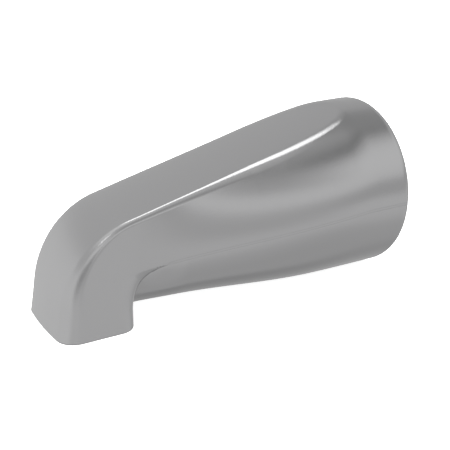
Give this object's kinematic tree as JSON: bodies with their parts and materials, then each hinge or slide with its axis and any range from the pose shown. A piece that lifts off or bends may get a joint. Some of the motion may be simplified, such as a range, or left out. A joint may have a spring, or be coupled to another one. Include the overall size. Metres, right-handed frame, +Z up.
{
  "type": "bath spout",
  "caption": "Chrome bath spout: a round hollow wall end tapers into a flat-topped arm with creased edges and turns down to an open square outlet.",
  "frame": {"origin": "centre of the round wall end, in the plane of the finished wall", "axes": "+Y points into the wall along the axis of the thread, the spout reaches out along -Y, +Z is up and the outlet opens along -Z"},
  "size_m": [0.0642, 0.1333, 0.0642],
  "materials": {
    "chrome": "polished chrome plate outside, dull cast metal inside"
  },
  "bodies": {
    "root": {"spout_body": "chrome"}
  },
  "joints": []
}
